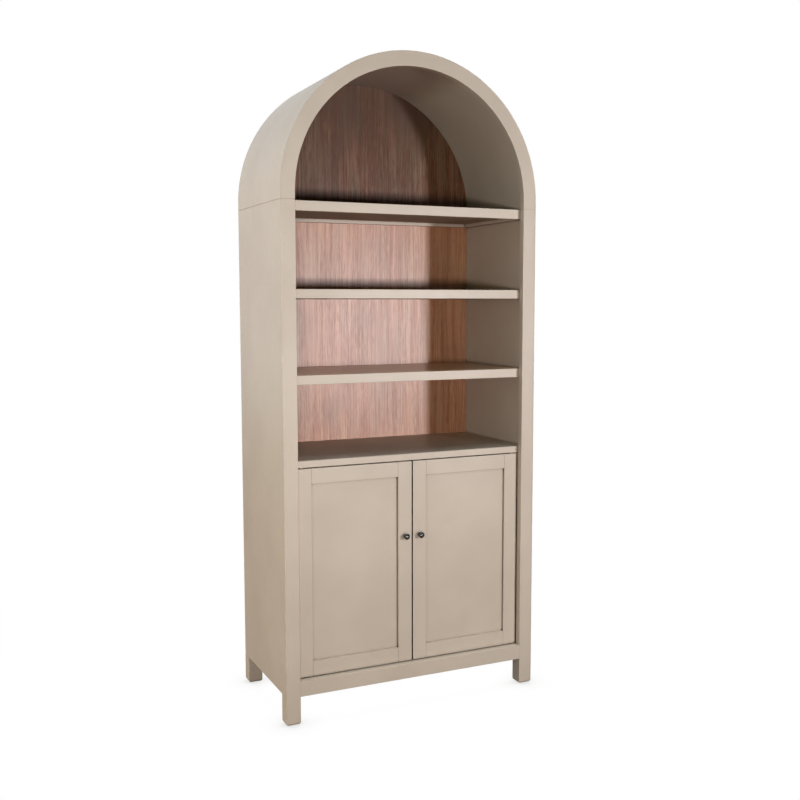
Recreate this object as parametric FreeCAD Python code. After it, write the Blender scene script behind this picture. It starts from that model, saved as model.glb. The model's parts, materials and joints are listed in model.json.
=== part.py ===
import FreeCAD, Part
import math
import os

from FreeCAD import Vector

# Arched cabinet in two stacked units. The lower unit has four legs, two doors and three open bays above them.
# The upper unit is a half-round arch that forms a fourth open niche.
# Millimetres, +Z up. The origin is on the floor, under the middle of the cabinet. The doors face -Y.

# Whole cabinet
width = 914.0
depth = 460.0
lower_height = 1668.0
arch_rise = 25.0
seam_bevel = 1.0
edge_ease = 1.5

# Walls, posts and legs
side_thickness = 22.0
side_clear = 97.0
post_width = 48.0
post_depth = 22.0
leg_depth = 45.0
leg_round = 10.0

# Glides under the legs
glide_height = 2.0
glide_radius = 9.0
glide_stem_radius = 2.5
glide_stem_length = 14.0

# Bottom of the lower unit
rail_clear = 93.0
rail_height = 50.0
rail_setback = 1.0
bottom_thickness = 20.0
rear_rail_thickness = 20.0
rear_rail_height = 50.0
rear_rail_inset = 5.0

# Set-back of shelves and doors from the front of the posts
front_setback = 25.0

# Cabinet top over the doors
cabinet_top_height = 853.0
cabinet_top_thickness = 23.0
cabinet_top_round = 4.0

# Display shelves and the shelf behind the doors
bay_height = 241.0
shelf_thickness = 30.0
shelf_end_play = 1.0
shelf_back_play = 2.0
inner_shelf_thickness = 18.0
inner_shelf_height = 470.0
inner_shelf_setback = 60.0

# Pins that carry the shelves
pin_radius = 2.5
pin_in_wall = 8.0
pin_in_shelf = 10.0
pin_notch_play = 0.2
pin_from_front = 50.0
pin_from_back = 50.0

# Fixed shelf on top of the lower unit
fixed_shelf_thickness = 20.0
lip_height = 32.0
lip_thickness = 20.0
cleat_width = 18.0

# Back panels in their rabbets
back_inset = 10.0
back_thickness = 6.0
rabbet_width = 8.0
back_play = 0.5

# Nails of the back panels
nail_radius = 0.8
nail_length = 20.0
nail_head_radius = 2.4
nail_head_height = 0.8
nail_end_margin = 30.0
nails_in_display_side = 6
nails_in_cabinet_side = 5
nails_in_arch = 11

# Doors
door_thickness = 20.0
side_reveal = 3.0
centre_gap = 4.0
top_reveal = 3.0
bottom_reveal = 2.0
stile_width = 50.0
door_rail_width = 50.0
panel_recess = 8.0
panel_thickness = 8.0
panel_play = 0.5
panel_fit = 0.1
groove_depth = 8.0
door_ease = 1.0
joint_bevel = 0.8

# Knobs and their screws
knob_height = 576.0
knob_radius = 10.0
knob_length = 23.0
knob_head_length = 13.0
knob_dome_height = 6.0
knob_brim_height = 3.0
knob_round = 1.2
knob_neck_radius = 4.5
knob_foot_radius = 6.5
knob_foot_length = 2.5
knob_screw_radius = 2.0
knob_screw_depth = 10.0
knob_screw_play = 0.2
knob_screw_head_radius = 4.2
knob_screw_head_height = 2.4

# Door pivots
pivot_from_edge = 18.0
pivot_from_face = 8.0
pivot_radius = 3.0
pivot_reach = 12.0
pivot_running_gap = 0.05
bush_wall = 1.5
bush_length = 13.5
pivot_plate_length = 34.0
pivot_plate_width = 11.0
pivot_plate_thickness = 2.5
pivot_screw_radius = 1.5
pivot_screw_length = 14.0
pivot_screw_head_radius = 2.8
pivot_screw_spacing = 24.0
washer_radius = 6.0
washer_lift = 0.1

# Battens that the doors close against at their outer edges
batten_depth = 45.0

# Magnetic catches and strike plates
catch_from_middle = 62.0
catch_length = 40.0
catch_depth = 16.0
catch_height = 12.0
magnet_length = 26.0
magnet_depth = 8.0
magnet_height = 5.0
catch_screw_radius = 1.5
catch_screw_length = 24.0
catch_screw_head_radius = 3.0
catch_screw_head_height = 1.5
catch_screw_spacing = 32.0
catch_gap = 0.3
strike_length = 26.0
strike_height = 15.0
strike_thickness = 1.5

# Dowels, leg screws, cam bolts and cam locks
dowel_radius = 4.0
dowel_length = 30.0
dowel_in_side = 12.0
rail_dowel_margin = 13.0
panel_dowel_margin = 70.0
panel_dowels_per_side = 3
arch_dowel_margin = 60.0
leg_screw_radius = 2.5
leg_screw_length = 55.0
leg_screw_head_radius = 5.0
leg_screw_head_height = 2.5
cam_depth = 42.0
cam_radius = 7.5
cam_length = 12.5
cam_margin = 110.0
cam_bolt_radius = 3.0
cam_bolt_play = 0.5
cam_bolt_in_arch = 12.0
cam_bolt_head_radius = 4.0
cam_bolt_head_height = 3.0

# Levels and planes that follow from the sizes
half_width = width / 2
front = -depth / 2
rear = depth / 2
side_in = half_width - side_thickness
post_in = half_width - post_width
post_back = front + post_depth
leg_back = front + leg_depth
rear_leg_front = rear - leg_depth
face = front + front_setback
back_face = rear - back_inset
back_rear = back_face + back_thickness
rabbet_in = side_in + rabbet_width
bottom_top = rail_clear + rail_height
bottom_under = bottom_top - bottom_thickness
cabinet_top_under = cabinet_top_height - cabinet_top_thickness
lower_shelf_under = cabinet_top_height + bay_height
upper_shelf_under = lower_shelf_under + shelf_thickness + bay_height
lip_under = lower_height - lip_height
fixed_shelf_under = lower_height - fixed_shelf_thickness
arch_centre = lower_height + arch_rise
back_joint = cabinet_top_height - cabinet_top_thickness / 2
batten_back = post_back + batten_depth
door_out = post_in - side_reveal
door_in = centre_gap / 2
door_under = bottom_top + bottom_reveal
door_top = cabinet_top_under - top_reveal
door_back = face + door_thickness
pivot_x = door_out - pivot_from_edge
pivot_y = face + pivot_from_face
knob_x = door_in + stile_width / 2
side_middle = half_width - side_thickness / 2
OVERRUN = 10.0
SAME_PLACE = 1e-4

ALONG_X = Vector(1, 0, 0)
ALONG_Y = Vector(0, 1, 0)
ALONG_Z = Vector(0, 0, 1)


# Shared shapes

def box(x, y, z):
    """A block between the two ends given along each axis."""
    corner = Vector(x[0], y[0], z[0])
    return Part.makeBox(x[1] - x[0], y[1] - y[0], z[1] - z[0], corner)


def rod(radius, start, direction, length):
    return Part.makeCylinder(radius, length, start, direction)


def cut_all(shape, cutters):
    for cutter in cutters:
        shape = shape.cut(cutter)
    return shape


def mirrored(shape):
    """The same piece on the left side."""
    return shape.mirror(Vector(0, 0, 0), ALONG_X)


def both_sides(shapes):
    return shapes + [mirrored(shape) for shape in shapes]


def near(value, target):
    return abs(value - target) < SAME_PLACE


def lies_in(edge, axis, value):
    """Whether an edge lies in the plane square to an axis at a value."""
    bounds = edge.BoundBox
    low = {"x": bounds.XMin, "y": bounds.YMin, "z": bounds.ZMin}[axis]
    high = {"x": bounds.XMax, "y": bounds.YMax, "z": bounds.ZMax}[axis]
    return near(low, value) and near(high, value)


def edges_on(shape, axis, value, skip=()):
    """Edges that lie in one plane square to an axis, without those that also lie in a plane of skip."""
    found = [edge for edge in shape.Edges if lies_in(edge, axis, value)]
    return [edge for edge in found if not any(lies_in(edge, *plane) for plane in skip)]


def edges_between(shape, first, second):
    """Edges that lie in two planes, each given as an axis and a value."""
    return [edge for edge in shape.Edges if lies_in(edge, *first) and lies_in(edge, *second)]


def save(name, shapes):
    """Writes one piece, or a group of like pieces."""
    shape = shapes if not isinstance(shapes, list) else Part.makeCompound(shapes)
    shape.exportStep("parts/" + name + ".step")


def save_pair(name, shape):
    save(name + "_right", shape)
    save(name + "_left", mirrored(shape))


# Fasteners on the right side, used both as pieces and as the holes they fill

def rail_dowel_places(low, high):
    return [low + rail_dowel_margin, high - rail_dowel_margin]


def front_rail_dowels():
    middle = (front + rail_setback + post_back) / 2
    start = post_in - dowel_length / 2
    places = rail_dowel_places(rail_clear, bottom_top)
    return [rod(dowel_radius, Vector(start, middle, z), ALONG_X, dowel_length) for z in places]


def rear_rail_dowels():
    middle = rear - rear_rail_inset - rear_rail_thickness / 2
    start = post_in - dowel_length / 2
    places = rail_dowel_places(bottom_under - rear_rail_height, bottom_under)
    return [rod(dowel_radius, Vector(start, middle, z), ALONG_X, dowel_length) for z in places]


def panel_dowels(level):
    """Dowels from one fixed panel into the side panel."""
    start = side_in + dowel_in_side - dowel_length
    first = post_back + panel_dowel_margin
    last = back_face - panel_dowel_margin
    step = (last - first) / (panel_dowels_per_side - 1)
    places = [first + row * step for row in range(panel_dowels_per_side)]
    return [rod(dowel_radius, Vector(start, y, level), ALONG_X, dowel_length) for y in places]


def bottom_dowels():
    return panel_dowels(bottom_top - bottom_thickness / 2)


def cabinet_top_dowels():
    return panel_dowels(cabinet_top_height - cabinet_top_thickness / 2)


def fixed_shelf_dowels():
    return panel_dowels(lower_height - fixed_shelf_thickness / 2)


def arch_dowels():
    """Upright dowels between the arch and the lower unit, the first one in the post."""
    start = lower_height - dowel_length / 2
    places = [
        Vector(half_width - post_width / 2, front + post_depth / 2, start),
        Vector(side_middle, post_back + arch_dowel_margin, start),
        Vector(side_middle, back_face - arch_dowel_margin, start),
    ]
    return [rod(dowel_radius, place, ALONG_Z, dowel_length) for place in places]


def cam_places():
    return [post_back + cam_margin, back_face - cam_margin]


def cam_bolts(play):
    """Bolts screwed up into the arch, with their heads held by the cam locks."""
    radius = cam_bolt_radius + play
    low = lower_height - cam_depth
    shapes = []
    for y in cam_places():
        shaft = rod(radius, Vector(side_middle, y, low), ALONG_Z, cam_depth)
        thread = rod(cam_bolt_radius, Vector(side_middle, y, lower_height), ALONG_Z, cam_bolt_in_arch)
        head_start = Vector(side_middle, y, low - cam_bolt_head_height)
        head = rod(cam_bolt_head_radius + play, head_start, ALONG_Z, cam_bolt_head_height + play)
        shapes.append(shaft.fuse(thread).fuse(head).removeSplitter())
    return shapes


def cam_pockets():
    level = lower_height - cam_depth
    return [rod(cam_radius, Vector(side_in, y, level), ALONG_X, cam_length) for y in cam_places()]


def leg_screws():
    """Countersunk screws from the bottom panel down into the legs."""
    x = (side_in + post_in) / 2
    head_height = leg_screw_head_height
    shapes = []
    for y in ((post_back + leg_back) / 2, (rear_leg_front + back_face) / 2):
        tip = Vector(x, y, bottom_top - leg_screw_length)
        neck = Vector(x, y, bottom_top - head_height)
        shaft = rod(leg_screw_radius, tip, ALONG_Z, leg_screw_length)
        cone = Part.makeCone(leg_screw_radius, leg_screw_head_radius, head_height, neck, ALONG_Z)
        shapes.append(shaft.fuse(cone).removeSplitter())
    return shapes


def shelf_pins(under, first, last):
    """Two pins that stand in the side panel, with their tops at the roof of the shelf's notches."""
    level = under + pin_radius + pin_notch_play
    start = side_in - pin_in_shelf
    places = [first + pin_from_front, last - pin_from_back]
    length = pin_in_shelf + pin_in_wall
    return [rod(pin_radius, Vector(start, y, level), ALONG_X, length) for y in places]


def display_pins():
    lower = shelf_pins(lower_shelf_under, face, back_face)
    upper = shelf_pins(upper_shelf_under, face, back_face)
    return lower + upper


def inner_pins():
    return shelf_pins(inner_shelf_height, face + inner_shelf_setback, back_face)


def nail_at(x, z):
    """A nail with its head on the rear of a back panel."""
    shaft = rod(nail_radius, Vector(x, back_rear - nail_length, z), ALONG_Y, nail_length)
    head = rod(nail_head_radius, Vector(x, back_rear, z), ALONG_Y, nail_head_height)
    return shaft.fuse(head).removeSplitter()


def nail_column(low, high, count):
    x = side_in + rabbet_width / 2
    first = low + nail_end_margin
    step = (high - nail_end_margin - first) / (count - 1)
    return [nail_at(x, first + row * step) for row in range(count)]


def cabinet_nails():
    return nail_column(side_clear + nail_end_margin, back_joint, nails_in_cabinet_side)


def display_nails():
    return nail_column(back_joint, lower_height, nails_in_display_side)


def arch_nails():
    """Nails round the arch, at even angles from one spring line to the other."""
    radius = side_in + rabbet_width / 2
    shapes = []
    for number in range(nails_in_arch):
        angle = math.pi * number / (nails_in_arch - 1)
        shapes.append(nail_at(radius * math.cos(angle), arch_centre + radius * math.sin(angle)))
    return shapes


# Legs, posts and side panels

def front_post():
    post = box((post_in, half_width), (front, post_back), (glide_height, lower_height))
    foot = edges_on(post, "z", glide_height, skip=(("y", post_back),))
    post = post.makeFillet(leg_round, foot)
    upright = edges_between(post, ("y", front), ("x", half_width))
    upright += edges_between(post, ("y", front), ("x", post_in))
    post = post.makeFillet(edge_ease, upright)
    seam = edges_on(post, "z", lower_height, skip=(("y", post_back), ("x", post_in)))
    post = post.makeChamfer(seam_bevel, seam)
    return cut_all(post, front_rail_dowels() + arch_dowels())


def leg_block(y, tongue_y, foot_skip):
    """A leg under the side panel, with a tongue inside it that reaches up to the bottom panel."""
    block = box((post_in, half_width), y, (glide_height, side_clear))
    foot = edges_on(block, "z", glide_height, skip=foot_skip)
    block = block.makeFillet(leg_round, foot)
    tongue = box((post_in, side_in), tongue_y, (side_clear, bottom_under))
    block = block.fuse(tongue).removeSplitter()
    return cut_all(block, leg_screws() + rear_rail_dowels() + glide_stems())


def front_leg_block():
    return leg_block((post_back, leg_back), (post_back, leg_back), (("y", post_back),))


def rear_leg():
    return leg_block((rear_leg_front, rear), (rear_leg_front, back_face), ())


def glide_places():
    x = half_width - post_width / 2
    return [(x, (post_back + leg_back) / 2), (x, (rear_leg_front + rear) / 2)]


def glide_stems():
    length = glide_stem_length
    return [rod(glide_stem_radius, Vector(x, y, glide_height), ALONG_Z, length) for x, y in glide_places()]


def leg_glides():
    pads = [rod(glide_radius, Vector(x, y, 0), ALONG_Z, glide_height) for x, y in glide_places()]
    return [pad.fuse(stem).removeSplitter() for pad, stem in zip(pads, glide_stems())]


def side_panel():
    panel = box((side_in, half_width), (post_back, rear), (side_clear, lower_height))
    outer = edges_between(panel, ("x", half_width), ("y", rear))
    panel = panel.makeFillet(edge_ease, outer)
    seam = edges_between(panel, ("z", lower_height), ("x", half_width))
    panel = panel.makeChamfer(seam_bevel, seam)
    rabbet = box((side_in - OVERRUN, rabbet_in), (back_face, rear + OVERRUN), (0, lower_height + OVERRUN))
    panel = panel.cut(rabbet)
    holes = bottom_dowels() + cabinet_top_dowels() + fixed_shelf_dowels() + arch_dowels()
    holes += cam_bolts(cam_bolt_play) + cam_pockets() + display_pins() + inner_pins()
    holes += cabinet_nails() + display_nails()
    return cut_all(panel, holes)


# Bottom of the lower unit

def bottom_front_rail():
    rail_face = front + rail_setback
    rail = box((-post_in, post_in), (rail_face, post_back), (rail_clear, bottom_top))
    edges = edges_on(rail, "y", rail_face, skip=(("x", post_in), ("x", -post_in)))
    rail = rail.makeFillet(edge_ease, edges)
    return cut_all(rail, both_sides(front_rail_dowels()))


def bottom_rear_rail():
    y = (rear - rear_rail_inset - rear_rail_thickness, rear - rear_rail_inset)
    rail = box((-post_in, post_in), y, (bottom_under - rear_rail_height, bottom_under))
    return cut_all(rail, both_sides(rear_rail_dowels()))


def bottom_panel():
    panel = box((-side_in, side_in), (post_back, back_face), (bottom_under, bottom_top))
    holes = bottom_dowels() + leg_screws() + [lower_pivot_plate()] + lower_pivot_screws()
    return cut_all(panel, both_sides(holes))


# Cabinet top, battens and shelves

def cabinet_top():
    panel = box((-side_in, side_in), (face, back_face), (cabinet_top_under, cabinet_top_height))
    panel = panel.makeFillet(cabinet_top_round, edges_between(panel, ("y", face), ("z", cabinet_top_height)))
    panel = panel.makeFillet(edge_ease, edges_between(panel, ("y", face), ("z", cabinet_top_under)))
    holes = cabinet_top_dowels() + [upper_pivot_plate()] + upper_pivot_screws() + catch_screws()
    return cut_all(panel, both_sides(holes))


def hinge_batten():
    return box((post_in, side_in), (post_back, batten_back), (bottom_top, cabinet_top_under))


def shelf(under, thickness, front_y, pins):
    """A loose shelf with notches below that hide its pins."""
    end = side_in - shelf_end_play
    board = box((-end, end), (front_y, back_face - shelf_back_play), (under, under + thickness))
    edges = edges_on(board, "y", front_y, skip=(("x", end), ("x", -end)))
    board = board.makeFillet(edge_ease, edges)
    half = pin_radius + pin_notch_play
    x = (side_in - pin_in_shelf - pin_notch_play, side_in)
    z = (under, under + half + pin_radius)
    notches = []
    for pin in pins:
        middle = pin.BoundBox.Center.y
        notches.append(box(x, (middle - half, middle + half), z))
    return cut_all(board, both_sides(notches))


def display_shelf(under):
    return shelf(under, shelf_thickness, face, shelf_pins(under, face, back_face))


def cabinet_shelf():
    front_y = face + inner_shelf_setback
    return shelf(inner_shelf_height, inner_shelf_thickness, front_y, inner_pins())


# Fixed shelf at the foot of the arch

def fixed_shelf_panel():
    panel = box((-side_in, side_in), (face + lip_thickness, back_face), (fixed_shelf_under, lower_height))
    return cut_all(panel, both_sides(fixed_shelf_dowels()))


def fixed_shelf_front_lip():
    lip = box((-side_in, side_in), (face, face + lip_thickness), (lip_under, lower_height))
    edges = edges_on(lip, "y", face, skip=(("x", side_in), ("x", -side_in)))
    return lip.makeFillet(edge_ease, edges)


def fixed_shelf_rear_cleat():
    return box((-side_in, side_in), (back_face - cleat_width, back_face), (lip_under, fixed_shelf_under))


def fixed_shelf_side_cleat():
    y = (face + lip_thickness, back_face - cleat_width)
    return box((side_in - cleat_width, side_in), y, (lip_under, fixed_shelf_under))


# Back panels of the lower unit

def back_panel(low, high, nails):
    edge = rabbet_in - back_play
    panel = box((-edge, edge), (back_face, back_rear), (low, high))
    return cut_all(panel, both_sides(nails))


# Arch

def arch_section(radius, y, length):
    """The solid half-round block with upright feet that the arch's faces are cut from."""
    foot_left = Vector(-radius, y, lower_height)
    spring_left = Vector(-radius, y, arch_centre)
    crown = Vector(0, y, arch_centre + radius)
    spring_right = Vector(radius, y, arch_centre)
    foot_right = Vector(radius, y, lower_height)
    edges = [
        Part.LineSegment(foot_left, spring_left).toShape(),
        Part.Arc(spring_left, crown, spring_right).toShape(),
        Part.LineSegment(spring_right, foot_right).toShape(),
        Part.LineSegment(foot_right, foot_left).toShape(),
    ]
    face_shape = Part.Face(Part.Wire(edges))
    return face_shape.extrude(Vector(0, length, 0))


def arch_hollow(radius, y, length):
    """The room inside an arch, with its foot let down past the seam."""
    foot = box((-radius, radius), (y, y + length), (lower_height - OVERRUN, arch_centre))
    return arch_section(radius, y, length).fuse(foot)


def arch_face_ring():
    ring = arch_section(half_width, front, post_depth)
    ring = ring.cut(arch_hollow(post_in, front - OVERRUN, post_depth + 2 * OVERRUN))
    ring = ring.makeFillet(edge_ease, edges_on(ring, "y", front, skip=(("z", lower_height),)))
    seam = edges_between(ring, ("z", lower_height), ("y", front))
    seam += edges_between(ring, ("z", lower_height), ("x", half_width))
    seam += edges_between(ring, ("z", lower_height), ("x", -half_width))
    ring = ring.makeChamfer(seam_bevel, seam)
    return cut_all(ring, both_sides(arch_dowels()))


def arch_shell():
    length = rear - post_back
    shell = arch_section(half_width, post_back, length)
    shell = shell.cut(arch_hollow(side_in, post_back - OVERRUN, length + 2 * OVERRUN))
    rim = edges_on(shell, "y", rear, skip=(("z", lower_height),))
    outer = [edge for edge in rim if not inside_arch(edge)]
    shell = shell.makeFillet(edge_ease, outer)
    seam = edges_between(shell, ("z", lower_height), ("x", half_width))
    seam += edges_between(shell, ("z", lower_height), ("x", -half_width))
    shell = shell.makeChamfer(seam_bevel, seam)
    shell = shell.cut(arch_hollow(rabbet_in, back_face, back_inset + OVERRUN))
    holes = arch_dowels() + cam_bolts(0)
    return cut_all(shell, both_sides(holes) + arch_nails())


def inside_arch(edge):
    """Whether an edge lies on the inner face of the arch."""
    return edge.BoundBox.XMax < half_width - edge_ease and edge.BoundBox.XMin > -half_width + edge_ease


def arch_back_panel():
    panel = arch_section(rabbet_in - back_play, back_face, back_thickness)
    return cut_all(panel, arch_nails())


# Doors, all drawn as the right door

def door_groove(x, z):
    """The slot in a stile or rail that holds the panel and the tongues."""
    y = (face + panel_recess - panel_fit, face + panel_recess + panel_thickness + panel_fit)
    return box(x, y, z)


def door_stile(x, groove_x, inner_edge):
    stile = box(x, (face, door_back), (door_under, door_top))
    stile = stile.makeFillet(door_ease, edges_on(stile, "y", face, skip=(("x", inner_edge),)))
    stile = stile.makeChamfer(joint_bevel, edges_between(stile, ("y", face), ("x", inner_edge)))
    return stile.cut(door_groove(groove_x, (door_under - OVERRUN, door_top + OVERRUN)))


def door_outer_stile():
    inner = door_out - stile_width
    stile = door_stile((inner, door_out), (inner - OVERRUN, inner + groove_depth), inner)
    bores = [pivot_bore(door_under, ALONG_Z), pivot_bore(door_top, -ALONG_Z)]
    return cut_all(stile, bores)


def door_inner_stile():
    inner = door_in + stile_width
    stile = door_stile((door_in, inner), (inner - groove_depth, inner + OVERRUN), inner)
    radius = knob_screw_radius + knob_screw_play
    hole = rod(radius, Vector(knob_x, face, knob_height), ALONG_Y, door_thickness)
    return stile.cut(hole)


def door_rail(outer_z, inner_z, groove_z, tongue_z):
    """A rail between the stiles, with a tongue at each end and a small bevel at each joint."""
    x = (door_in + stile_width, door_out - stile_width)
    rail = box(x, (face, door_back), (min(outer_z, inner_z), max(outer_z, inner_z)))
    rail = rail.makeFillet(door_ease, edges_between(rail, ("y", face), ("z", outer_z)))
    joints = edges_between(rail, ("y", face), ("x", x[0])) + edges_between(rail, ("y", face), ("x", x[1]))
    joints += edges_between(rail, ("y", face), ("z", inner_z))
    rail = rail.makeChamfer(joint_bevel, joints)
    rail = rail.cut(door_groove((x[0] - OVERRUN, x[1] + OVERRUN), groove_z))
    tongue_y = (face + panel_recess, face + panel_recess + panel_thickness)
    reach = groove_depth - panel_play
    for tongue_x in ((x[0] - reach, x[0]), (x[1], x[1] + reach)):
        rail = rail.fuse(box(tongue_x, tongue_y, tongue_z))
    return rail.removeSplitter()


def door_bottom_rail():
    inner = door_under + door_rail_width
    groove = inner - groove_depth
    return door_rail(door_under, inner, (groove, inner + OVERRUN), (door_under, groove))


def door_top_rail():
    inner = door_top - door_rail_width
    groove = inner + groove_depth
    return door_rail(door_top, inner, (inner - OVERRUN, groove), (groove, door_top))


def door_panel():
    reach = groove_depth - panel_play
    x = (door_in + stile_width - reach, door_out - stile_width + reach)
    y = (face + panel_recess, face + panel_recess + panel_thickness)
    z = (door_under + door_rail_width - reach, door_top - door_rail_width + reach)
    return box(x, y, z)


def door_knob():
    """A domed head on a waisted neck, turned about an axis that points out of the door."""
    neck_end = knob_length - knob_head_length
    brim = knob_length - knob_dome_height
    points = [
        Vector(0, 0, 0),
        Vector(knob_foot_radius, 0, 0),
        Vector(knob_foot_radius, 0, knob_foot_length),
        Vector(knob_neck_radius, 0, knob_foot_length),
        Vector(knob_neck_radius, 0, neck_end),
        Vector(knob_radius, 0, brim - knob_brim_height),
        Vector(knob_radius, 0, brim),
    ]
    edges = [Part.LineSegment(points[i], points[i + 1]).toShape() for i in range(len(points) - 1)]
    dome_radius = (knob_radius ** 2 + knob_dome_height ** 2) / (2 * knob_dome_height)
    half_angle = math.asin(knob_radius / dome_radius) / 2
    dome_middle = knob_length - dome_radius
    brow = Vector(dome_radius * math.sin(half_angle), 0, dome_middle + dome_radius * math.cos(half_angle))
    tip = Vector(0, 0, knob_length)
    edges.append(Part.Arc(points[-1], brow, tip).toShape())
    edges.append(Part.LineSegment(tip, points[0]).toShape())
    knob = Part.Face(Part.Wire(edges)).revolve(Vector(0, 0, 0), ALONG_Z, 360)
    brims = edges_on(knob, "z", brim) + edges_on(knob, "z", brim - knob_brim_height)
    knob = knob.makeFillet(knob_round, brims)
    knob.rotate(Vector(0, 0, 0), ALONG_X, 90)
    knob.translate(Vector(knob_x, face, knob_height))
    thread = rod(knob_screw_radius, Vector(knob_x, face, knob_height), -ALONG_Y, knob_screw_depth)
    return knob.cut(thread)


def knob_screw():
    length = door_thickness + knob_screw_depth
    shaft = rod(knob_screw_radius, Vector(knob_x, door_back, knob_height), -ALONG_Y, length)
    seat = Vector(knob_x, door_back, knob_height)
    head = rod(knob_screw_head_radius, seat, ALONG_Y, knob_screw_head_height)
    return shaft.fuse(head).removeSplitter()


# Door pivots

def pivot_bore(level, direction):
    radius = pivot_radius + pivot_running_gap + bush_wall
    return rod(radius, Vector(pivot_x, pivot_y, level), direction, bush_length)


def pivot_bush(level, direction):
    radius = pivot_radius + pivot_running_gap
    hole = rod(radius, Vector(pivot_x, pivot_y, level), direction, bush_length)
    return pivot_bore(level, direction).cut(hole)


def pivot_bushes():
    return [pivot_bush(door_under, ALONG_Z), pivot_bush(door_top, -ALONG_Z)]


def pivot_plate_block(z):
    x = (pivot_x - pivot_plate_length / 2, pivot_x + pivot_plate_length / 2)
    y = (pivot_y - pivot_plate_width / 2, pivot_y + pivot_plate_width / 2)
    return box(x, y, z)


def lower_pivot_plate():
    return pivot_plate_block((bottom_top - pivot_plate_thickness, bottom_top))


def upper_pivot_plate():
    return pivot_plate_block((cabinet_top_under, cabinet_top_under + pivot_plate_thickness))


def pivot_screw_places():
    return [pivot_x - pivot_screw_spacing / 2, pivot_x + pivot_screw_spacing / 2]


def pivot_screws(level, direction):
    """Countersunk screws, each with its head flush with the plate."""
    shapes = []
    for x in pivot_screw_places():
        start = Vector(x, pivot_y, level)
        shaft = rod(pivot_screw_radius, start, direction, pivot_screw_length)
        radii = (pivot_screw_head_radius, pivot_screw_radius)
        cone = Part.makeCone(*radii, pivot_plate_thickness, start, direction)
        shapes.append(shaft.fuse(cone).removeSplitter())
    return shapes


def lower_pivot_screws():
    return pivot_screws(bottom_top, -ALONG_Z)


def upper_pivot_screws():
    return pivot_screws(cabinet_top_under, ALONG_Z)


def pivot_plates():
    """The plates with their pins, one below and one above the door."""
    floor = Vector(pivot_x, pivot_y, bottom_top)
    roof = Vector(pivot_x, pivot_y, cabinet_top_under)
    lower_pin = rod(pivot_radius, floor, ALONG_Z, bottom_reveal + pivot_reach)
    upper_pin = rod(pivot_radius, roof, -ALONG_Z, top_reveal + pivot_reach)
    lower = cut_all(lower_pivot_plate(), lower_pivot_screws()).fuse(lower_pin)
    upper = cut_all(upper_pivot_plate(), upper_pivot_screws()).fuse(upper_pin)
    return [lower, upper]


def thrust_washer():
    """The ring that the door's lower bush turns on."""
    height = bottom_reveal - washer_lift
    floor = Vector(pivot_x, pivot_y, bottom_top)
    hole = rod(pivot_radius + pivot_running_gap, floor, ALONG_Z, height)
    return rod(washer_radius, floor, ALONG_Z, height).cut(hole)


# Magnetic catches

def catch_front():
    return door_back + strike_thickness + catch_gap


def catch_magnet():
    x = (catch_from_middle - magnet_length / 2, catch_from_middle + magnet_length / 2)
    middle = cabinet_top_under - catch_height / 2
    z = (middle - magnet_height / 2, middle + magnet_height / 2)
    return box(x, (catch_front(), catch_front() + magnet_depth), z)


def catch_screws():
    """Screws up through the housing, with their heads below it."""
    y = catch_front() + catch_depth / 2
    shapes = []
    for x in (catch_from_middle - catch_screw_spacing / 2, catch_from_middle + catch_screw_spacing / 2):
        seat = Vector(x, y, cabinet_top_under - catch_height)
        shaft = rod(catch_screw_radius, seat, ALONG_Z, catch_screw_length)
        head = rod(catch_screw_head_radius, seat, -ALONG_Z, catch_screw_head_height)
        shapes.append(shaft.fuse(head).removeSplitter())
    return shapes


def catch_housing():
    x = (catch_from_middle - catch_length / 2, catch_from_middle + catch_length / 2)
    y = (catch_front(), catch_front() + catch_depth)
    housing = box(x, y, (cabinet_top_under - catch_height, cabinet_top_under))
    return cut_all(housing, [catch_magnet()] + catch_screws())


def strike_plate():
    x = (catch_from_middle - strike_length / 2, catch_from_middle + strike_length / 2)
    z = (door_top - strike_height, door_top)
    return box(x, (door_back, door_back + strike_thickness), z)


# Cam locks with a slot for the bolt's head

def cam_locks():
    bolts = cam_bolts(cam_bolt_play / 2)
    return [cut_all(pocket, bolts) for pocket in cam_pockets()]


os.makedirs("parts", exist_ok=True)

save_pair("front_post", front_post())
save_pair("front_leg_block", front_leg_block())
save_pair("rear_leg", rear_leg())
save_pair("side_panel", side_panel())
save("bottom_front_rail", bottom_front_rail())
save("bottom_rear_rail", bottom_rear_rail())
save("bottom_panel", bottom_panel())
save("cabinet_top", cabinet_top())
save_pair("hinge_batten", hinge_batten())
save("display_shelf_lower", display_shelf(lower_shelf_under))
save("display_shelf_upper", display_shelf(upper_shelf_under))
save("cabinet_shelf", cabinet_shelf())
save("fixed_shelf_panel", fixed_shelf_panel())
save("fixed_shelf_front_lip", fixed_shelf_front_lip())
save("fixed_shelf_rear_cleat", fixed_shelf_rear_cleat())
save_pair("fixed_shelf_side_cleat", fixed_shelf_side_cleat())
save("display_back_panel", back_panel(back_joint, lower_height, display_nails()))
save("cabinet_back_panel", back_panel(bottom_under, back_joint, cabinet_nails()))
save("arch_face_ring", arch_face_ring())
save("arch_shell", arch_shell())
save("arch_back_panel", arch_back_panel())

save_pair("door_outer_stile", door_outer_stile())
save_pair("door_inner_stile", door_inner_stile())
save_pair("door_top_rail", door_top_rail())
save_pair("door_bottom_rail", door_bottom_rail())
save_pair("door_panel", door_panel())
save_pair("door_knob", door_knob())
save_pair("knob_screw", knob_screw())
save_pair("strike_plate", strike_plate())
save("pivot_bushes_right", pivot_bushes())
save("pivot_bushes_left", [mirrored(bush) for bush in pivot_bushes()])

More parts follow.
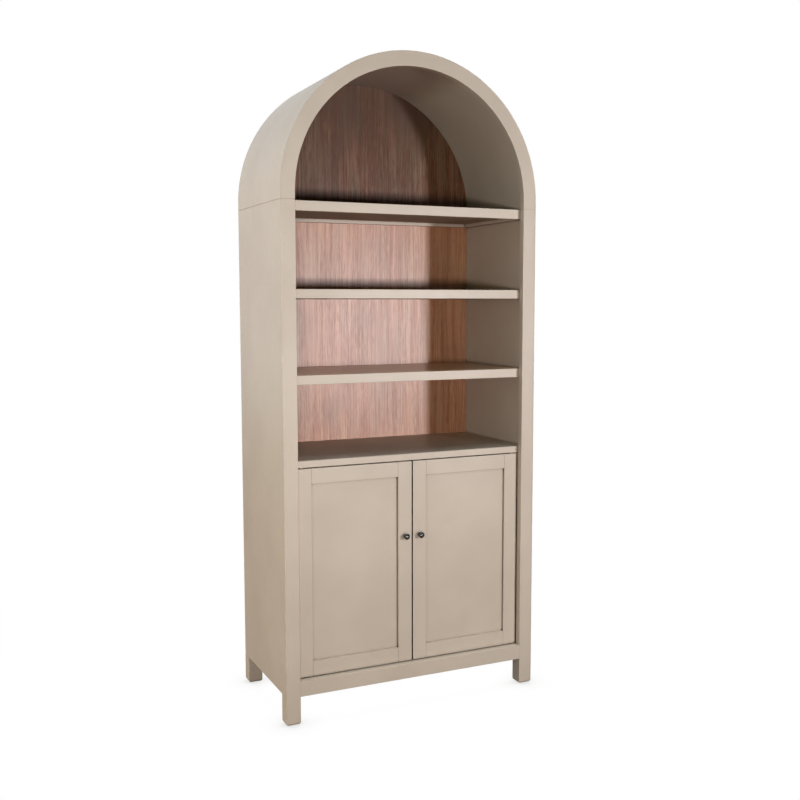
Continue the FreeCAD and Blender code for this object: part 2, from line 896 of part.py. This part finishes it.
save("pivot_plates", both_sides(pivot_plates()))
save("pivot_plate_screws", both_sides(lower_pivot_screws() + upper_pivot_screws()))
save("thrust_washers", both_sides([thrust_washer()]))
save("catch_housings", both_sides([catch_housing()]))
save("catch_magnets", both_sides([catch_magnet()]))
save("catch_screws", both_sides(catch_screws()))
save("shelf_pins", both_sides(display_pins() + inner_pins()))
save("carcass_dowels", both_sides(bottom_dowels() + cabinet_top_dowels() + fixed_shelf_dowels()))
save("rail_dowels", both_sides(front_rail_dowels() + rear_rail_dowels()))
save("leg_screws", both_sides(leg_screws()))
save("leg_glides", both_sides(leg_glides()))
save("back_panel_nails", both_sides(cabinet_nails() + display_nails()) + arch_nails())
save("arch_dowels", both_sides(arch_dowels()))
save("arch_cam_bolts", both_sides(cam_bolts(0)))
save("arch_cam_locks", both_sides(cam_locks()))
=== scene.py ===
import json
import math

import bpy
from mathutils import Matrix, Vector

# Finish, light and view of the arched cabinet. Metres, +Z up, with the doors facing -Y.

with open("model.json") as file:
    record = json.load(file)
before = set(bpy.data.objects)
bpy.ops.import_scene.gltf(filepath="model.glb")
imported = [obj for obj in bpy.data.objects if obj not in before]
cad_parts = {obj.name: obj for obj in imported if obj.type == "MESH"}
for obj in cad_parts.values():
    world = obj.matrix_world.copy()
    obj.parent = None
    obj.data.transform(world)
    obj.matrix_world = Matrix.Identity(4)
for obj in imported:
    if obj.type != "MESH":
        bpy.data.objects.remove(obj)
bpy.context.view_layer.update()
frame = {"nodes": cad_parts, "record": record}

# Camera, as the photograph was taken
camera_place = Vector((-1.4413, -3.1975, 1.3483))
camera_yaw = math.radians(25.015)
camera_pitch = math.radians(-5.456)
camera_roll = math.radians(-0.089)
camera_lens = 45.336
camera_film = 36.0

# Lights: place, point aimed at, width, height, power in watts, colour
LIGHTS = {
    "key": ((1.26, -2.91, 1.205), (0.0, 0.0, 1.25), 0.20, 0.24, 52.6, (0.885, 0.91, 1.0)),
    "fill": ((-1.45, -3.20, 1.115), (0.0, 0.0, 1.20), 0.50, 0.22, 59.8, (0.975, 0.945, 0.96)),
    "left_high": ((-2.8, -2.2, 1.9), (0.0, 0.0, 1.2), 0.8, 0.5, 4.1, (0.36, 1.0, 0.8)),
    "overhead": ((0.3, -1.1, 4.4), (0.0, -0.2, 1.9), 2.0, 1.0, 28.0, (0.84, 0.94, 1.0)),
    "side": ((-4.0, 0.7, 1.5), (-0.4, 0.0, 1.2), 2.0, 2.4, 38.0, (1.0, 0.72, 0.40)),
    "right": ((3.6, 0.5, 1.5), (0.3, 0.0, 1.1), 2.0, 2.0, 24.0, (1.0, 0.98, 0.96)),
    "behind": ((2.4, 3.2, 1.7), (0.1, 0.2, 1.1), 1.6, 1.6, 26.0, (1.0, 0.98, 0.95)),
    "rim": ((0.7, 3.2, 2.9), (-0.2, 0.0, 2.0), 1.6, 1.2, 5.0, (1.0, 0.95, 0.80)),
}

# Soft light from the left rear: the direction that it comes from, and its red, green and blue
sky_from = (-0.7071, 0.7071, 0.0)
sky_light = (1.62, 1.76, 1.96)
backdrop_white = 1.0
contrast_gamma = 0.8

# Screen that keeps the key light off the glossy right side
screen_place = (0.688, -0.7, 1.14)
screen_width = 0.16
screen_height = 1.96

# Floor, and the one below it that the light bounces from
floor_radius = 2.2
floor_fade = 1.2
fade_from = 0.35 * floor_radius
fade_to = floor_radius + 0.9 * floor_fade
bounce_radius = 4 * floor_radius
bounce_drop = 0.002
disc_sides = 96

# How near another surface has to be to shade this one, in the cracks of the paint and on the floor
crack_reach = 0.014
floor_reach = 0.10
reach_samples = 6

# Noise stays near the middle of 0 to 1. These are the parts of it that are drawn out to a whole range.
CLOSE = (0.35, 0.65)
WIDE = (0.3, 0.7)

# How far a surface is turned to one side, where 1 is straight to it, before it counts as facing that side
NEARLY = 0.85
WHOLLY = 0.98


def srgb(red, green, blue):
    """A colour given as it looks on a screen, from 0 to 1, as light values."""
    return tuple(c / 12.92 if c <= 0.04045 else ((c + 0.055) / 1.055) ** 2.4 for c in (red, green, blue))


def tinted(colour, tint):
    """A colour with its red, green and blue each multiplied by its own share."""
    return tuple(part * share for part, share in zip(colour, tint))


def scaled(colour, share):
    return tinted(colour, (share, share, share))


# Colours of the paint, and of the painted shade, light and reflection laid over it
paint_colour = srgb(0.765, 0.715, 0.650)
paint_deep = srgb(0.745, 0.693, 0.628)
# Painted shade on the undersides of boards
painted_shade_below = srgb(0.620, 0.545, 0.485)
# Painted reflection of the veneer on the tops of shelves
painted_veneer_reflection = srgb(0.825, 0.720, 0.595)
# Painted light on the tops of ledges, rails and stiles
painted_light_on_ledges = srgb(0.89, 0.84, 0.77)
# Painted shade in gaps and corners, where other surfaces are near
painted_shade_in_cracks = srgb(0.12, 0.07, 0.045)

# Colours of the veneer, as it looks on a screen, and of the board that it is laid on
veneer_look = (0.712, 0.522, 0.376)
board_dark = srgb(0.47, 0.36, 0.27)
board_light = srgb(0.55, 0.43, 0.33)

# How much red, green and blue the dark grain loses, and how much light a stain or the painted shade at the
# crown of the arch leaves
GRAIN_LOSS = (0.30, 0.45, 0.60)
stain_and_shade_leaves = 0.35

# Heights between which a painted shade darkens the veneer of the arch towards its crown
crown_from = 1.84
crown_to = 2.10

# Pieces whose material differs from that of their slot. The shelves, panels and doors keep the greige paint
# but get their own painted light, reflection or shade, and the shelves a smoother top.
OWN_FINISH = {
    "arch_back_panel": "arch_veneer",
    "arch_cam_locks": "painted_wood",
    "display_shelf_upper": "shelf_paint",
    "display_shelf_lower": "shelf_paint",
    "bottom_front_rail": "door_paint",
}
for hand in ("left", "right"):
    OWN_FINISH[f"door_panel_{hand}"] = "panel_paint"
    for frame_piece in ("outer_stile", "inner_stile", "top_rail", "bottom_rail"):
        OWN_FINISH[f"door_{frame_piece}_{hand}"] = "door_paint"


# Shader nodes

class Nodes:
    """The nodes of a material or world. Most methods add some and give back the socket that they make."""

    def __init__(self, owner):
        owner.use_nodes = True
        self.owner = owner
        self.tree = owner.node_tree
        self.tree.nodes.clear()

    @classmethod
    def of_material(cls, name):
        return cls(bpy.data.materials.new(name))

    @classmethod
    def of_world(cls, name):
        world = bpy.data.worlds.new(name)
        bpy.context.scene.world = world
        return cls(world)

    def add(self, kind, settings=None, inputs=None):
        """A new node, as it is."""
        node = self.tree.nodes.new(kind)
        for key, value in (settings or {}).items():
            setattr(node, key, value)
        for key, value in (inputs or {}).items():
            self.feed(node.inputs[key], value)
        return node

    def feed(self, socket, value):
        """Joins a socket to another one, or sets its value."""
        if isinstance(value, bpy.types.NodeSocket):
            self.tree.links.new(value, socket)
        elif isinstance(value, tuple) and len(value) == 3 and socket.type == "RGBA":
            socket.default_value = (*value, 1.0)
        else:
            socket.default_value = value

    def place(self):
        return self.add("ShaderNodeTexCoord").outputs["Object"]

    def part(self, vector, axis):
        """One of the X, Y and Z of a vector."""
        return self.add("ShaderNodeSeparateXYZ", inputs={"Vector": vector}).outputs[axis]

    def facing(self, axis):
        """How far the surface faces along an axis of the object, from -1 to 1."""
        return self.part(self.add("ShaderNodeTexCoord").outputs["Normal"], axis)

    def stretched(self, vector, x=1.0, y=1.0, z=1.0, shift=(0.0, 0.0, 0.0)):
        inputs = {"Vector": vector, "Scale": (x, y, z), "Location": shift}
        return self.add("ShaderNodeMapping", inputs=inputs).outputs["Vector"]

    def noise(self, vector, cells, detail=2.0, rough=0.5):
        """Noise with so many cells in a metre."""
        inputs = {"Vector": vector, "Scale": cells, "Detail": detail, "Roughness": rough}
        return self.add("ShaderNodeTexNoise", inputs=inputs).outputs["Fac"]

    def grain(self, vector, across, upward, detail, rough=0.5):
        """Noise drawn out upright: cells in a metre across and upward."""
        return self.noise(self.stretched(vector, across, 1.0, upward), 1.0, detail, rough)

    def spread(self, value, low, high, new_low=0.0, new_high=1.0, kind="SMOOTHSTEP"):
        """A value between low and high, drawn out to a new range."""
        inputs = {0: value, 1: low, 2: high, 3: new_low, 4: new_high}
        return self.add("ShaderNodeMapRange", {"interpolation_type": kind}, inputs).outputs["Result"]

    def maths(self, operation, first, second):
        return self.add("ShaderNodeMath", {"operation": operation}, {0: first, 1: second}).outputs["Value"]

    def times(self, first, second):
        return self.maths("MULTIPLY", first, second)

    def added(self, first, *others):
        total = first
        for value in others:
            total = self.maths("ADD", total, value)
        return total

    def vector_maths(self, operation, inputs, output="Vector"):
        return self.add("ShaderNodeVectorMath", {"operation": operation}, inputs).outputs[output]

    def mixed(self, share, first, second):
        """The second colour laid over the first by a share."""
        node = self.add("ShaderNodeMix", {"data_type": "RGBA"}, {"Factor": share})
        under, over = [socket for socket in node.inputs if socket.type == "RGBA"]
        self.feed(under, first)
        self.feed(over, second)
        return next(socket for socket in node.outputs if socket.type == "RGBA")

    def shaders_mixed(self, share, first, second):
        """The second shader laid over the first by a share."""
        return self.add("ShaderNodeMixShader", inputs={0: share, 1: first, 2: second}).outputs["Shader"]

    def bump(self, height, strength, distance, normal=None):
        inputs = {"Height": height, "Strength": strength, "Distance": distance}
        if normal is not None:
            inputs["Normal"] = normal
        return self.add("ShaderNodeBump", inputs=inputs).outputs["Normal"]

    def openness(self, reach):
        """How open the surface is to its surroundings within a reach: 0 in a deep crack, 1 in the open."""
        settings = {"samples": reach_samples}
        return self.add("ShaderNodeAmbientOcclusion", settings, {"Distance": reach}).outputs["AO"]

    def end(self, shader, output="ShaderNodeOutputMaterial"):
        """Joins a shader to the output, and gives back the material or world."""
        self.feed(self.add(output).inputs["Surface"], shader)
        return self.owner

    def finish(self, inputs):
        """Joins a surface with these inputs to the output, and gives back the material."""
        return self.end(self.add("ShaderNodeBsdfPrincipled", inputs=inputs).outputs["BSDF"])


# Paint

def satin_paint(name, painted_light_on_top=paint_colour, top_roughness=0.0, corner_shade=0.06):
    """Sprayed greige paint with faint clouds and a fine orange-peel skin. Below a board it is duller, with a
    painted shade; on top it can have a painted light or a painted reflection and be smoother; in gaps and
    corners it has a painted shade and is duller."""
    n = Nodes.of_material(name)
    place = n.place()
    upward = n.facing("Z")
    above = n.spread(upward, NEARLY, WHOLLY)
    below = n.spread(upward, -NEARLY, -WHOLLY)
    crack_shade = painted_crack_shade(n, upward, corner_shade)
    clouds = n.noise(place, cells=3.5, detail=3.0, rough=0.55)
    colour = n.mixed(n.spread(clouds, *CLOSE), paint_deep, paint_colour)
    # Painted shade under a board, where the paint is also duller
    colour = n.mixed(below, colour, painted_shade_below)
    # Painted light, or a painted reflection, on the top of a board
    if painted_light_on_top != paint_colour:
        colour = n.mixed(above, colour, painted_light_on_top)
    # Painted shade in gaps and corners
    colour = n.mixed(crack_shade, colour, painted_shade_in_cracks)
    skin = n.noise(place, cells=420.0)
    wave = n.noise(place, cells=60.0, detail=1.0)
    rough_below = n.times(below, 0.28)
    rough_above = n.times(above, top_roughness)
    rough_in_cracks = n.times(crack_shade, 0.5)
    roughness = n.spread(wave, *WIDE, new_low=0.44, new_high=0.49)
    roughness = n.added(roughness, rough_below, rough_above, rough_in_cracks)
    peel = n.bump(skin, strength=0.10, distance=0.0004)
    flow = n.bump(wave, strength=0.05, distance=0.002, normal=peel)
    return n.finish({
        "Base Color": colour,
        "Roughness": roughness,
        "Specular IOR Level": 0.5,
        "Normal": flow,
    })


def painted_crack_shade(n, upward, corner_shade):
    """The share of painted shade: little of it in a corner that is half shut, most of it in a gap, and none
    on top of a board."""
    wide_open = 0.88
    half_shut = 0.50
    shut = 0.36
    gap_shade = 0.76
    openness = n.openness(crack_reach)
    corner = n.spread(openness, wide_open, half_shut, new_high=corner_shade, kind="LINEAR")
    gap = n.spread(openness, half_shut, shut, new_high=gap_shade)
    not_on_top = n.spread(upward, 0.5, 0.9, new_low=1.0, new_high=0.0)
    return n.times(n.added(corner, gap), not_on_top)


# Veneer

def veneer(name, tone, band_width, mottle, blotch, figure, depth, crown_shade, shift, rear_tint, lacquer):
    """Straight-grained brown veneer, on a board that shows on the rear face. It has warm and cool bands,
    faint blotches and a dark figure, and where it is dark it is also a little rougher.

    The tone scales its light. The mottle is how far the cool bands differ from the warm ones. Blotch is how
    strong the stains are in patches, and the shade after it is how strong a painted shade is towards the top
    of the arch. The figure is how much dark grain there is, and the depth is how dark it gets. The shift
    moves the grain, so that two panels differ. The rear tint is that of the board, and the lacquer sets how
    glossy the face is."""
    n = Nodes.of_material(name)
    place = wandering(n, n.stretched(n.place(), shift=shift))
    shade = dark_grain(n, place, figure)
    red, green, blue = veneer_look
    warm = scaled(srgb(red, green, blue), tone)
    cool = scaled(srgb(red - mottle, green + 0.1 * mottle, blue + 0.2 * mottle), tone)
    deep = tinted(warm, [1.0 - loss * depth for loss in GRAIN_LOSS])
    bands = n.grain(place, across=1.0 / band_width, upward=2.5, detail=2.0, rough=0.6)
    patches = n.grain(place, across=7.0, upward=4.0, detail=1.0)
    in_patches = n.spread(patches, 0.52, 0.28, new_high=blotch)
    # Painted shade that darkens the veneer towards the crown of the arch
    crown_painted_shade = n.spread(n.part(n.place(), "Z"), crown_from, crown_to, new_high=crown_shade)
    rear = n.spread(n.facing("Y"), NEARLY, WHOLLY)
    colour = n.mixed(n.spread(bands, 0.38, 0.62), warm, cool)
    colour = n.mixed(shade, colour, deep)
    # Stains in patches, and the painted shade towards the crown of the arch
    colour = n.mixed(n.added(in_patches, crown_painted_shade), colour, scaled(warm, stain_and_shade_leaves))
    colour = n.mixed(rear, colour, plain_board(n, rear_tint))
    roughness = n.spread(shade, 0.0, 1.0, new_low=0.455, new_high=0.495, kind="LINEAR")
    roughness = n.added(roughness, n.times(rear, 0.25))
    skin = n.bump(n.times(shade, -1.0), strength=0.10, distance=0.0002)
    return n.finish({"Base Color": colour, "Roughness": roughness, "Normal": skin, **lacquer})


def wandering(n, place):
    """A place that wanders a little to either side on its way up, so that the grain isn't ruled straight."""
    wander = 0.04
    sway = n.grain(place, across=3.0, upward=0.8, detail=1.0)
    drift = n.times(n.maths("SUBTRACT", sway, 0.5), wander)
    sideways = n.add("ShaderNodeCombineXYZ", inputs={"X": drift}).outputs["Vector"]
    return n.vector_maths("ADD", {0: place, 1: sideways})


def dark_grain(n, place, figure):
    """How dark the grain is: streaks, fine lines, and short strokes that crowd together here and there."""
    clusters = n.grain(place, across=18.0, upward=2.2, detail=2.0)
    streaks = n.grain(place, across=75.0, upward=2.0, detail=3.0, rough=0.6)
    lines = n.grain(place, across=200.0, upward=3.5, detail=3.0, rough=0.7)
    strokes = n.grain(place, across=480.0, upward=26.0, detail=1.0)
    crowded = n.added(strokes, n.spread(clusters, 0.36, 0.64, new_low=-0.10, new_high=0.08))
    return n.added(
        n.spread(streaks, 0.60, 0.36, new_high=0.42 * figure),
        n.spread(lines, 0.57, 0.36, new_high=0.58 * figure),
        n.spread(crowded, 0.46, 0.36, new_high=0.50 * figure),
    )


def plain_board(n, tint):
    """The colour of brown fibreboard, with short pale fibres."""
    fibres = n.noise(n.place(), cells=260.0, detail=3.0, rough=0.6)
    return n.mixed(n.spread(fibres, *WIDE), tinted(board_dark, tint), tinted(board_light, tint))


# Other materials

def raw_wood():
    """Pale unfinished beech for the dowels, with short flecks along the grain."""
    dark = srgb(0.72, 0.57, 0.42)
    light = srgb(0.85, 0.72, 0.57)
    n = Nodes.of_material("raw_beech")
    flecks = n.noise(n.stretched(n.place(), 60.0, 700.0, 700.0), cells=1.0)
    colour = n.mixed(n.spread(flecks, *CLOSE), dark, light)
    skin = n.bump(flecks, strength=0.2, distance=0.0002)
    return n.finish({"Base Color": colour, "Roughness": 0.75, "Normal": skin})


def metal(name, light, dark, scuffs, smoothest, roughest):
    """Bare metal with a faint uneven tone and fine scuffs, so many in a metre."""
    n = Nodes.of_material(name)
    place = n.place()
    clouds = n.noise(place, cells=90.0, detail=3.0)
    scuffed = n.noise(n.stretched(place, z=6.0), cells=scuffs)
    colour = n.mixed(n.spread(clouds, *WIDE), dark, light)
    roughness = n.spread(scuffed, *WIDE, smoothest, roughest)
    skin = n.bump(scuffed, strength=0.08, distance=0.0002)
    return n.finish({"Base Color": colour, "Roughness": roughness, "Metallic": 1.0, "Normal": skin})


def dark_bronze():
    """Oil-rubbed bronze of the knobs: near black, brown and smoother where it is rubbed, and lacquered."""
    dark = srgb(0.14, 0.11, 0.09)
    brown = srgb(0.24, 0.17, 0.13)
    lacquer = {"Coat Weight": 1.0, "Coat Roughness": 0.26, "Coat IOR": 2.2}
    n = Nodes.of_material("oil_rubbed_bronze")
    place = n.place()
    rubbed = n.noise(place, cells=160.0, detail=4.0, rough=0.6)
    fine = n.noise(place, cells=900.0)
    colour = n.mixed(n.spread(rubbed, 0.45, 0.70), dark, brown)
    roughness = n.spread(rubbed, *WIDE, new_low=0.42, new_high=0.32)
    skin = n.bump(fine, strength=0.06, distance=0.0002)
    return n.finish({
        "Base Color": colour,
        "Roughness": roughness,
        "Metallic": 0.7,
        "Normal": skin,
        **lacquer,
    })


def black_plastic():
    """Moulded black plastic with a fine spark-eroded texture."""
    dark = srgb(0.10, 0.10, 0.105)
    light = srgb(0.14, 0.14, 0.145)
    n = Nodes.of_material("moulded_black_plastic")
    place = n.place()
    texture = n.noise(place, cells=1500.0)
    clouds = n.noise(place, cells=120.0)
    colour = n.mixed(n.spread(clouds, *WIDE), dark, light)
    roughness = n.spread(texture, *WIDE, new_low=0.5, new_high=0.6)
    skin = n.bump(texture, strength=0.2, distance=0.0001)
    return n.finish({"Base Color": colour, "Roughness": roughness, "Normal": skin})


def make_materials():
    """One material for each slot of the record, and those of the pieces that differ from their slot."""
    thick_lacquer = {"IOR": 1.71, "Specular IOR Level": 1.0}
    thin_lacquer = {"Specular IOR Level": 0.8}
    return {
        "painted_wood": satin_paint("greige_satin_paint"),
        # The shelves have a painted reflection of the veneer on their smoother tops
        "shelf_paint": satin_paint("greige_satin_paint_on_shelves", painted_veneer_reflection, top_roughness=-0.22),
        # The panels have a stronger painted shade in their corners
        "panel_paint": satin_paint("greige_satin_paint_on_panels", corner_shade=0.22),
        # The door frames have a painted light on their tops, and a stronger painted shade in corners and
        # gaps
        "door_paint": satin_paint("greige_satin_paint_on_doors", painted_light_on_ledges, corner_shade=0.40),
        "wood_veneer": veneer(
            "walnut_veneer", tone=1.15, band_width=0.07, mottle=0.03, blotch=0.18, figure=0.78,
            depth=1.35, crown_shade=0.0, shift=(0.0, 0.0, 0.0), rear_tint=(1.0, 1.0, 1.0), lacquer=thick_lacquer,
        ),
        # The arch's veneer has a painted shade towards its crown
        "arch_veneer": veneer(
            "walnut_veneer_arch", tone=0.57, band_width=0.035, mottle=0.09, blotch=0.35, figure=1.1,
            depth=1.6, crown_shade=0.65, shift=(0.0, 0.0, 0.31), rear_tint=(1.2, 1.38, 1.6), lacquer=thin_lacquer,
        ),
        "bare_wood": raw_wood(),
        "dark_bronze": dark_bronze(),
        "steel": metal(
            "zinc_plated_steel", light=srgb(0.80, 0.80, 0.78), dark=srgb(0.62, 0.62, 0.61),
            scuffs=700.0, smoothest=0.26, roughest=0.40,
        ),
        "zinc": metal(
            "die_cast_zinc", light=srgb(0.66, 0.66, 0.66), dark=srgb(0.52, 0.52, 0.53),
            scuffs=500.0, smoothest=0.38, roughest=0.52,
        ),
        "brass": metal(
            "turned_brass", light=srgb(0.86, 0.70, 0.40), dark=srgb(0.70, 0.54, 0.28),
            scuffs=800.0, smoothest=0.22, roughest=0.36,
        ),
        "black_plastic": black_plastic(),
    }


def dress():
    """Gives each CAD node the material of the slot that the record names for it, or its own one where it
    differs.
    """
    materials = make_materials()
    slots = {row["node"]: row["material_slot"] for row in frame["record"]["subparts"]}
    for name, node in frame["nodes"].items():
        slot = slots[name]
        node.data.materials.clear()
        node.data.materials.append(materials[OWN_FINISH.get(name, slot)])


# Stage

def staged(name, material):
    """Names the mesh that was added last and gives it its material."""
    made = bpy.context.object
    made.name = name
    made.data.materials.append(material)
    return made


def add_disc(radius, drop=0.0):
    place = (0.0, 0.0, -drop)
    bpy.ops.mesh.primitive_circle_add(vertices=disc_sides, radius=radius, fill_type="NGON", location=place)


def matt(name, colour):
    n = Nodes.of_material(name)
    return n.end(n.add("ShaderNodeBsdfDiffuse", inputs={"Color": colour}).outputs["BSDF"])


def fading_white():
    """White that takes no light or shadow, fades out far away, and is faintly shaded by the cabinet."""
    white = (1.0, 1.0, 1.0)
    shaded = srgb(0.90, 0.895, 0.89)
    n = Nodes.of_material("pale_floor")
    distance = n.vector_maths("LENGTH", {0: n.place()}, "Value")
    colour = n.mixed(n.spread(n.openness(floor_reach), 0.30, 0.95), shaded, white)
    lit = n.add("ShaderNodeEmission", inputs={"Color": colour}).outputs["Emission"]
    clear = n.add("ShaderNodeBsdfTransparent").outputs["BSDF"]
    return n.end(n.shaders_mixed(n.spread(distance, fade_from, fade_to), lit, clear))


def pale_floor():
    """A pale round floor that fades out into the white surroundings."""
    add_disc(floor_radius + floor_fade)
    floor = staged("floor", fading_white())
    floor.visible_diffuse = False
    floor.visible_glossy = False
    floor.visible_shadow = False


def bounce_floor():
    """A beige floor right under the pale one, which throws the warm light that comes up from below."""
    add_disc(bounce_radius, bounce_drop)
    floor = staged("bounce_floor", matt("bounce_floor", srgb(0.68, 0.64, 0.60)))
    floor.visible_camera = False


def key_screen():
    """A narrow black screen beside the key light's beam, so that the glossy right side doesn't glare."""
    upright = (math.radians(90.0), 0.0, 0.0)
    bpy.ops.mesh.primitive_plane_add(size=1.0, location=screen_place, rotation=upright)
    screen = staged("key_screen", matt("black_screen", (0.0, 0.0, 0.0)))
    screen.scale = (screen_width, screen_height, 1.0)
    screen.visible_camera = False
    screen.visible_diffuse = False
    screen.visible_glossy = False


# Light and camera

def add_light(name, place, target, width, height, power, colour):
    data = bpy.data.lights.new(name, "AREA")
    data.shape = "RECTANGLE"
    data.size = width
    data.size_y = height
    data.energy = power
    data.color = colour
    light = bpy.data.objects.new(name, data)
    light.location = place
    light.rotation_mode = "QUATERNION"
    light.rotation_quaternion = (Vector(target) - Vector(place)).to_track_quat("-Z", "Y")
    bpy.context.scene.collection.objects.link(light)


def soft_world():
    """Soft light that comes from one side, with a plain white backdrop for the camera."""
    n = Nodes.of_world("studio")
    direction = n.add("ShaderNodeTexCoord").outputs["Generated"]
    towards = n.vector_maths("DOT_PRODUCT", {0: direction, 1: sky_from}, "Value")
    share = n.maths("MAXIMUM", towards, 0.0)
    colour = n.vector_maths("SCALE", {0: sky_light, "Scale": share})
    white = {"Color": (1.0, 1.0, 1.0), "Strength": backdrop_white}
    soft = n.add("ShaderNodeBackground", inputs={"Color": colour}).outputs["Background"]
    backdrop = n.add("ShaderNodeBackground", inputs=white).outputs["Background"]
    seen = n.add("ShaderNodeLightPath").outputs["Is Camera Ray"]
    n.end(n.shaders_mixed(seen, soft, backdrop), "ShaderNodeOutputWorld")


def add_camera():
    """The camera of the photograph, turned by its yaw, pitch and roll."""
    ahead = Vector((
        math.sin(camera_yaw) * math.cos(camera_pitch),
        math.cos(camera_yaw) * math.cos(camera_pitch),
        math.sin(camera_pitch),
    ))
    level_right = Vector((math.cos(camera_yaw), -math.sin(camera_yaw), 0.0))
    level_up = level_right.cross(ahead)
    right = level_right * math.cos(camera_roll) + level_up * math.sin(camera_roll)
    up = right.cross(ahead)
    data = bpy.data.cameras.new("camera")
    data.lens = camera_lens
    data.sensor_width = camera_film
    camera = bpy.data.objects.new("camera", data)
    turn = Matrix((right, up, -ahead)).transposed()
    camera.matrix_world = Matrix.Translation(camera_place) @ turn.to_4x4()
    bpy.context.scene.collection.objects.link(camera)
    bpy.context.scene.camera = camera


def set_tones():
    """Plain screen colours, with a little more contrast."""
    view = bpy.context.scene.view_settings
    view.view_transform = "Standard"
    view.look = "None"
    view.gamma = contrast_gamma


dress()
pale_floor()
bounce_floor()
key_screen()
soft_world()
for light_name, light_values in LIGHTS.items():
    add_light(light_name, *light_values)
add_camera()
set_tones()
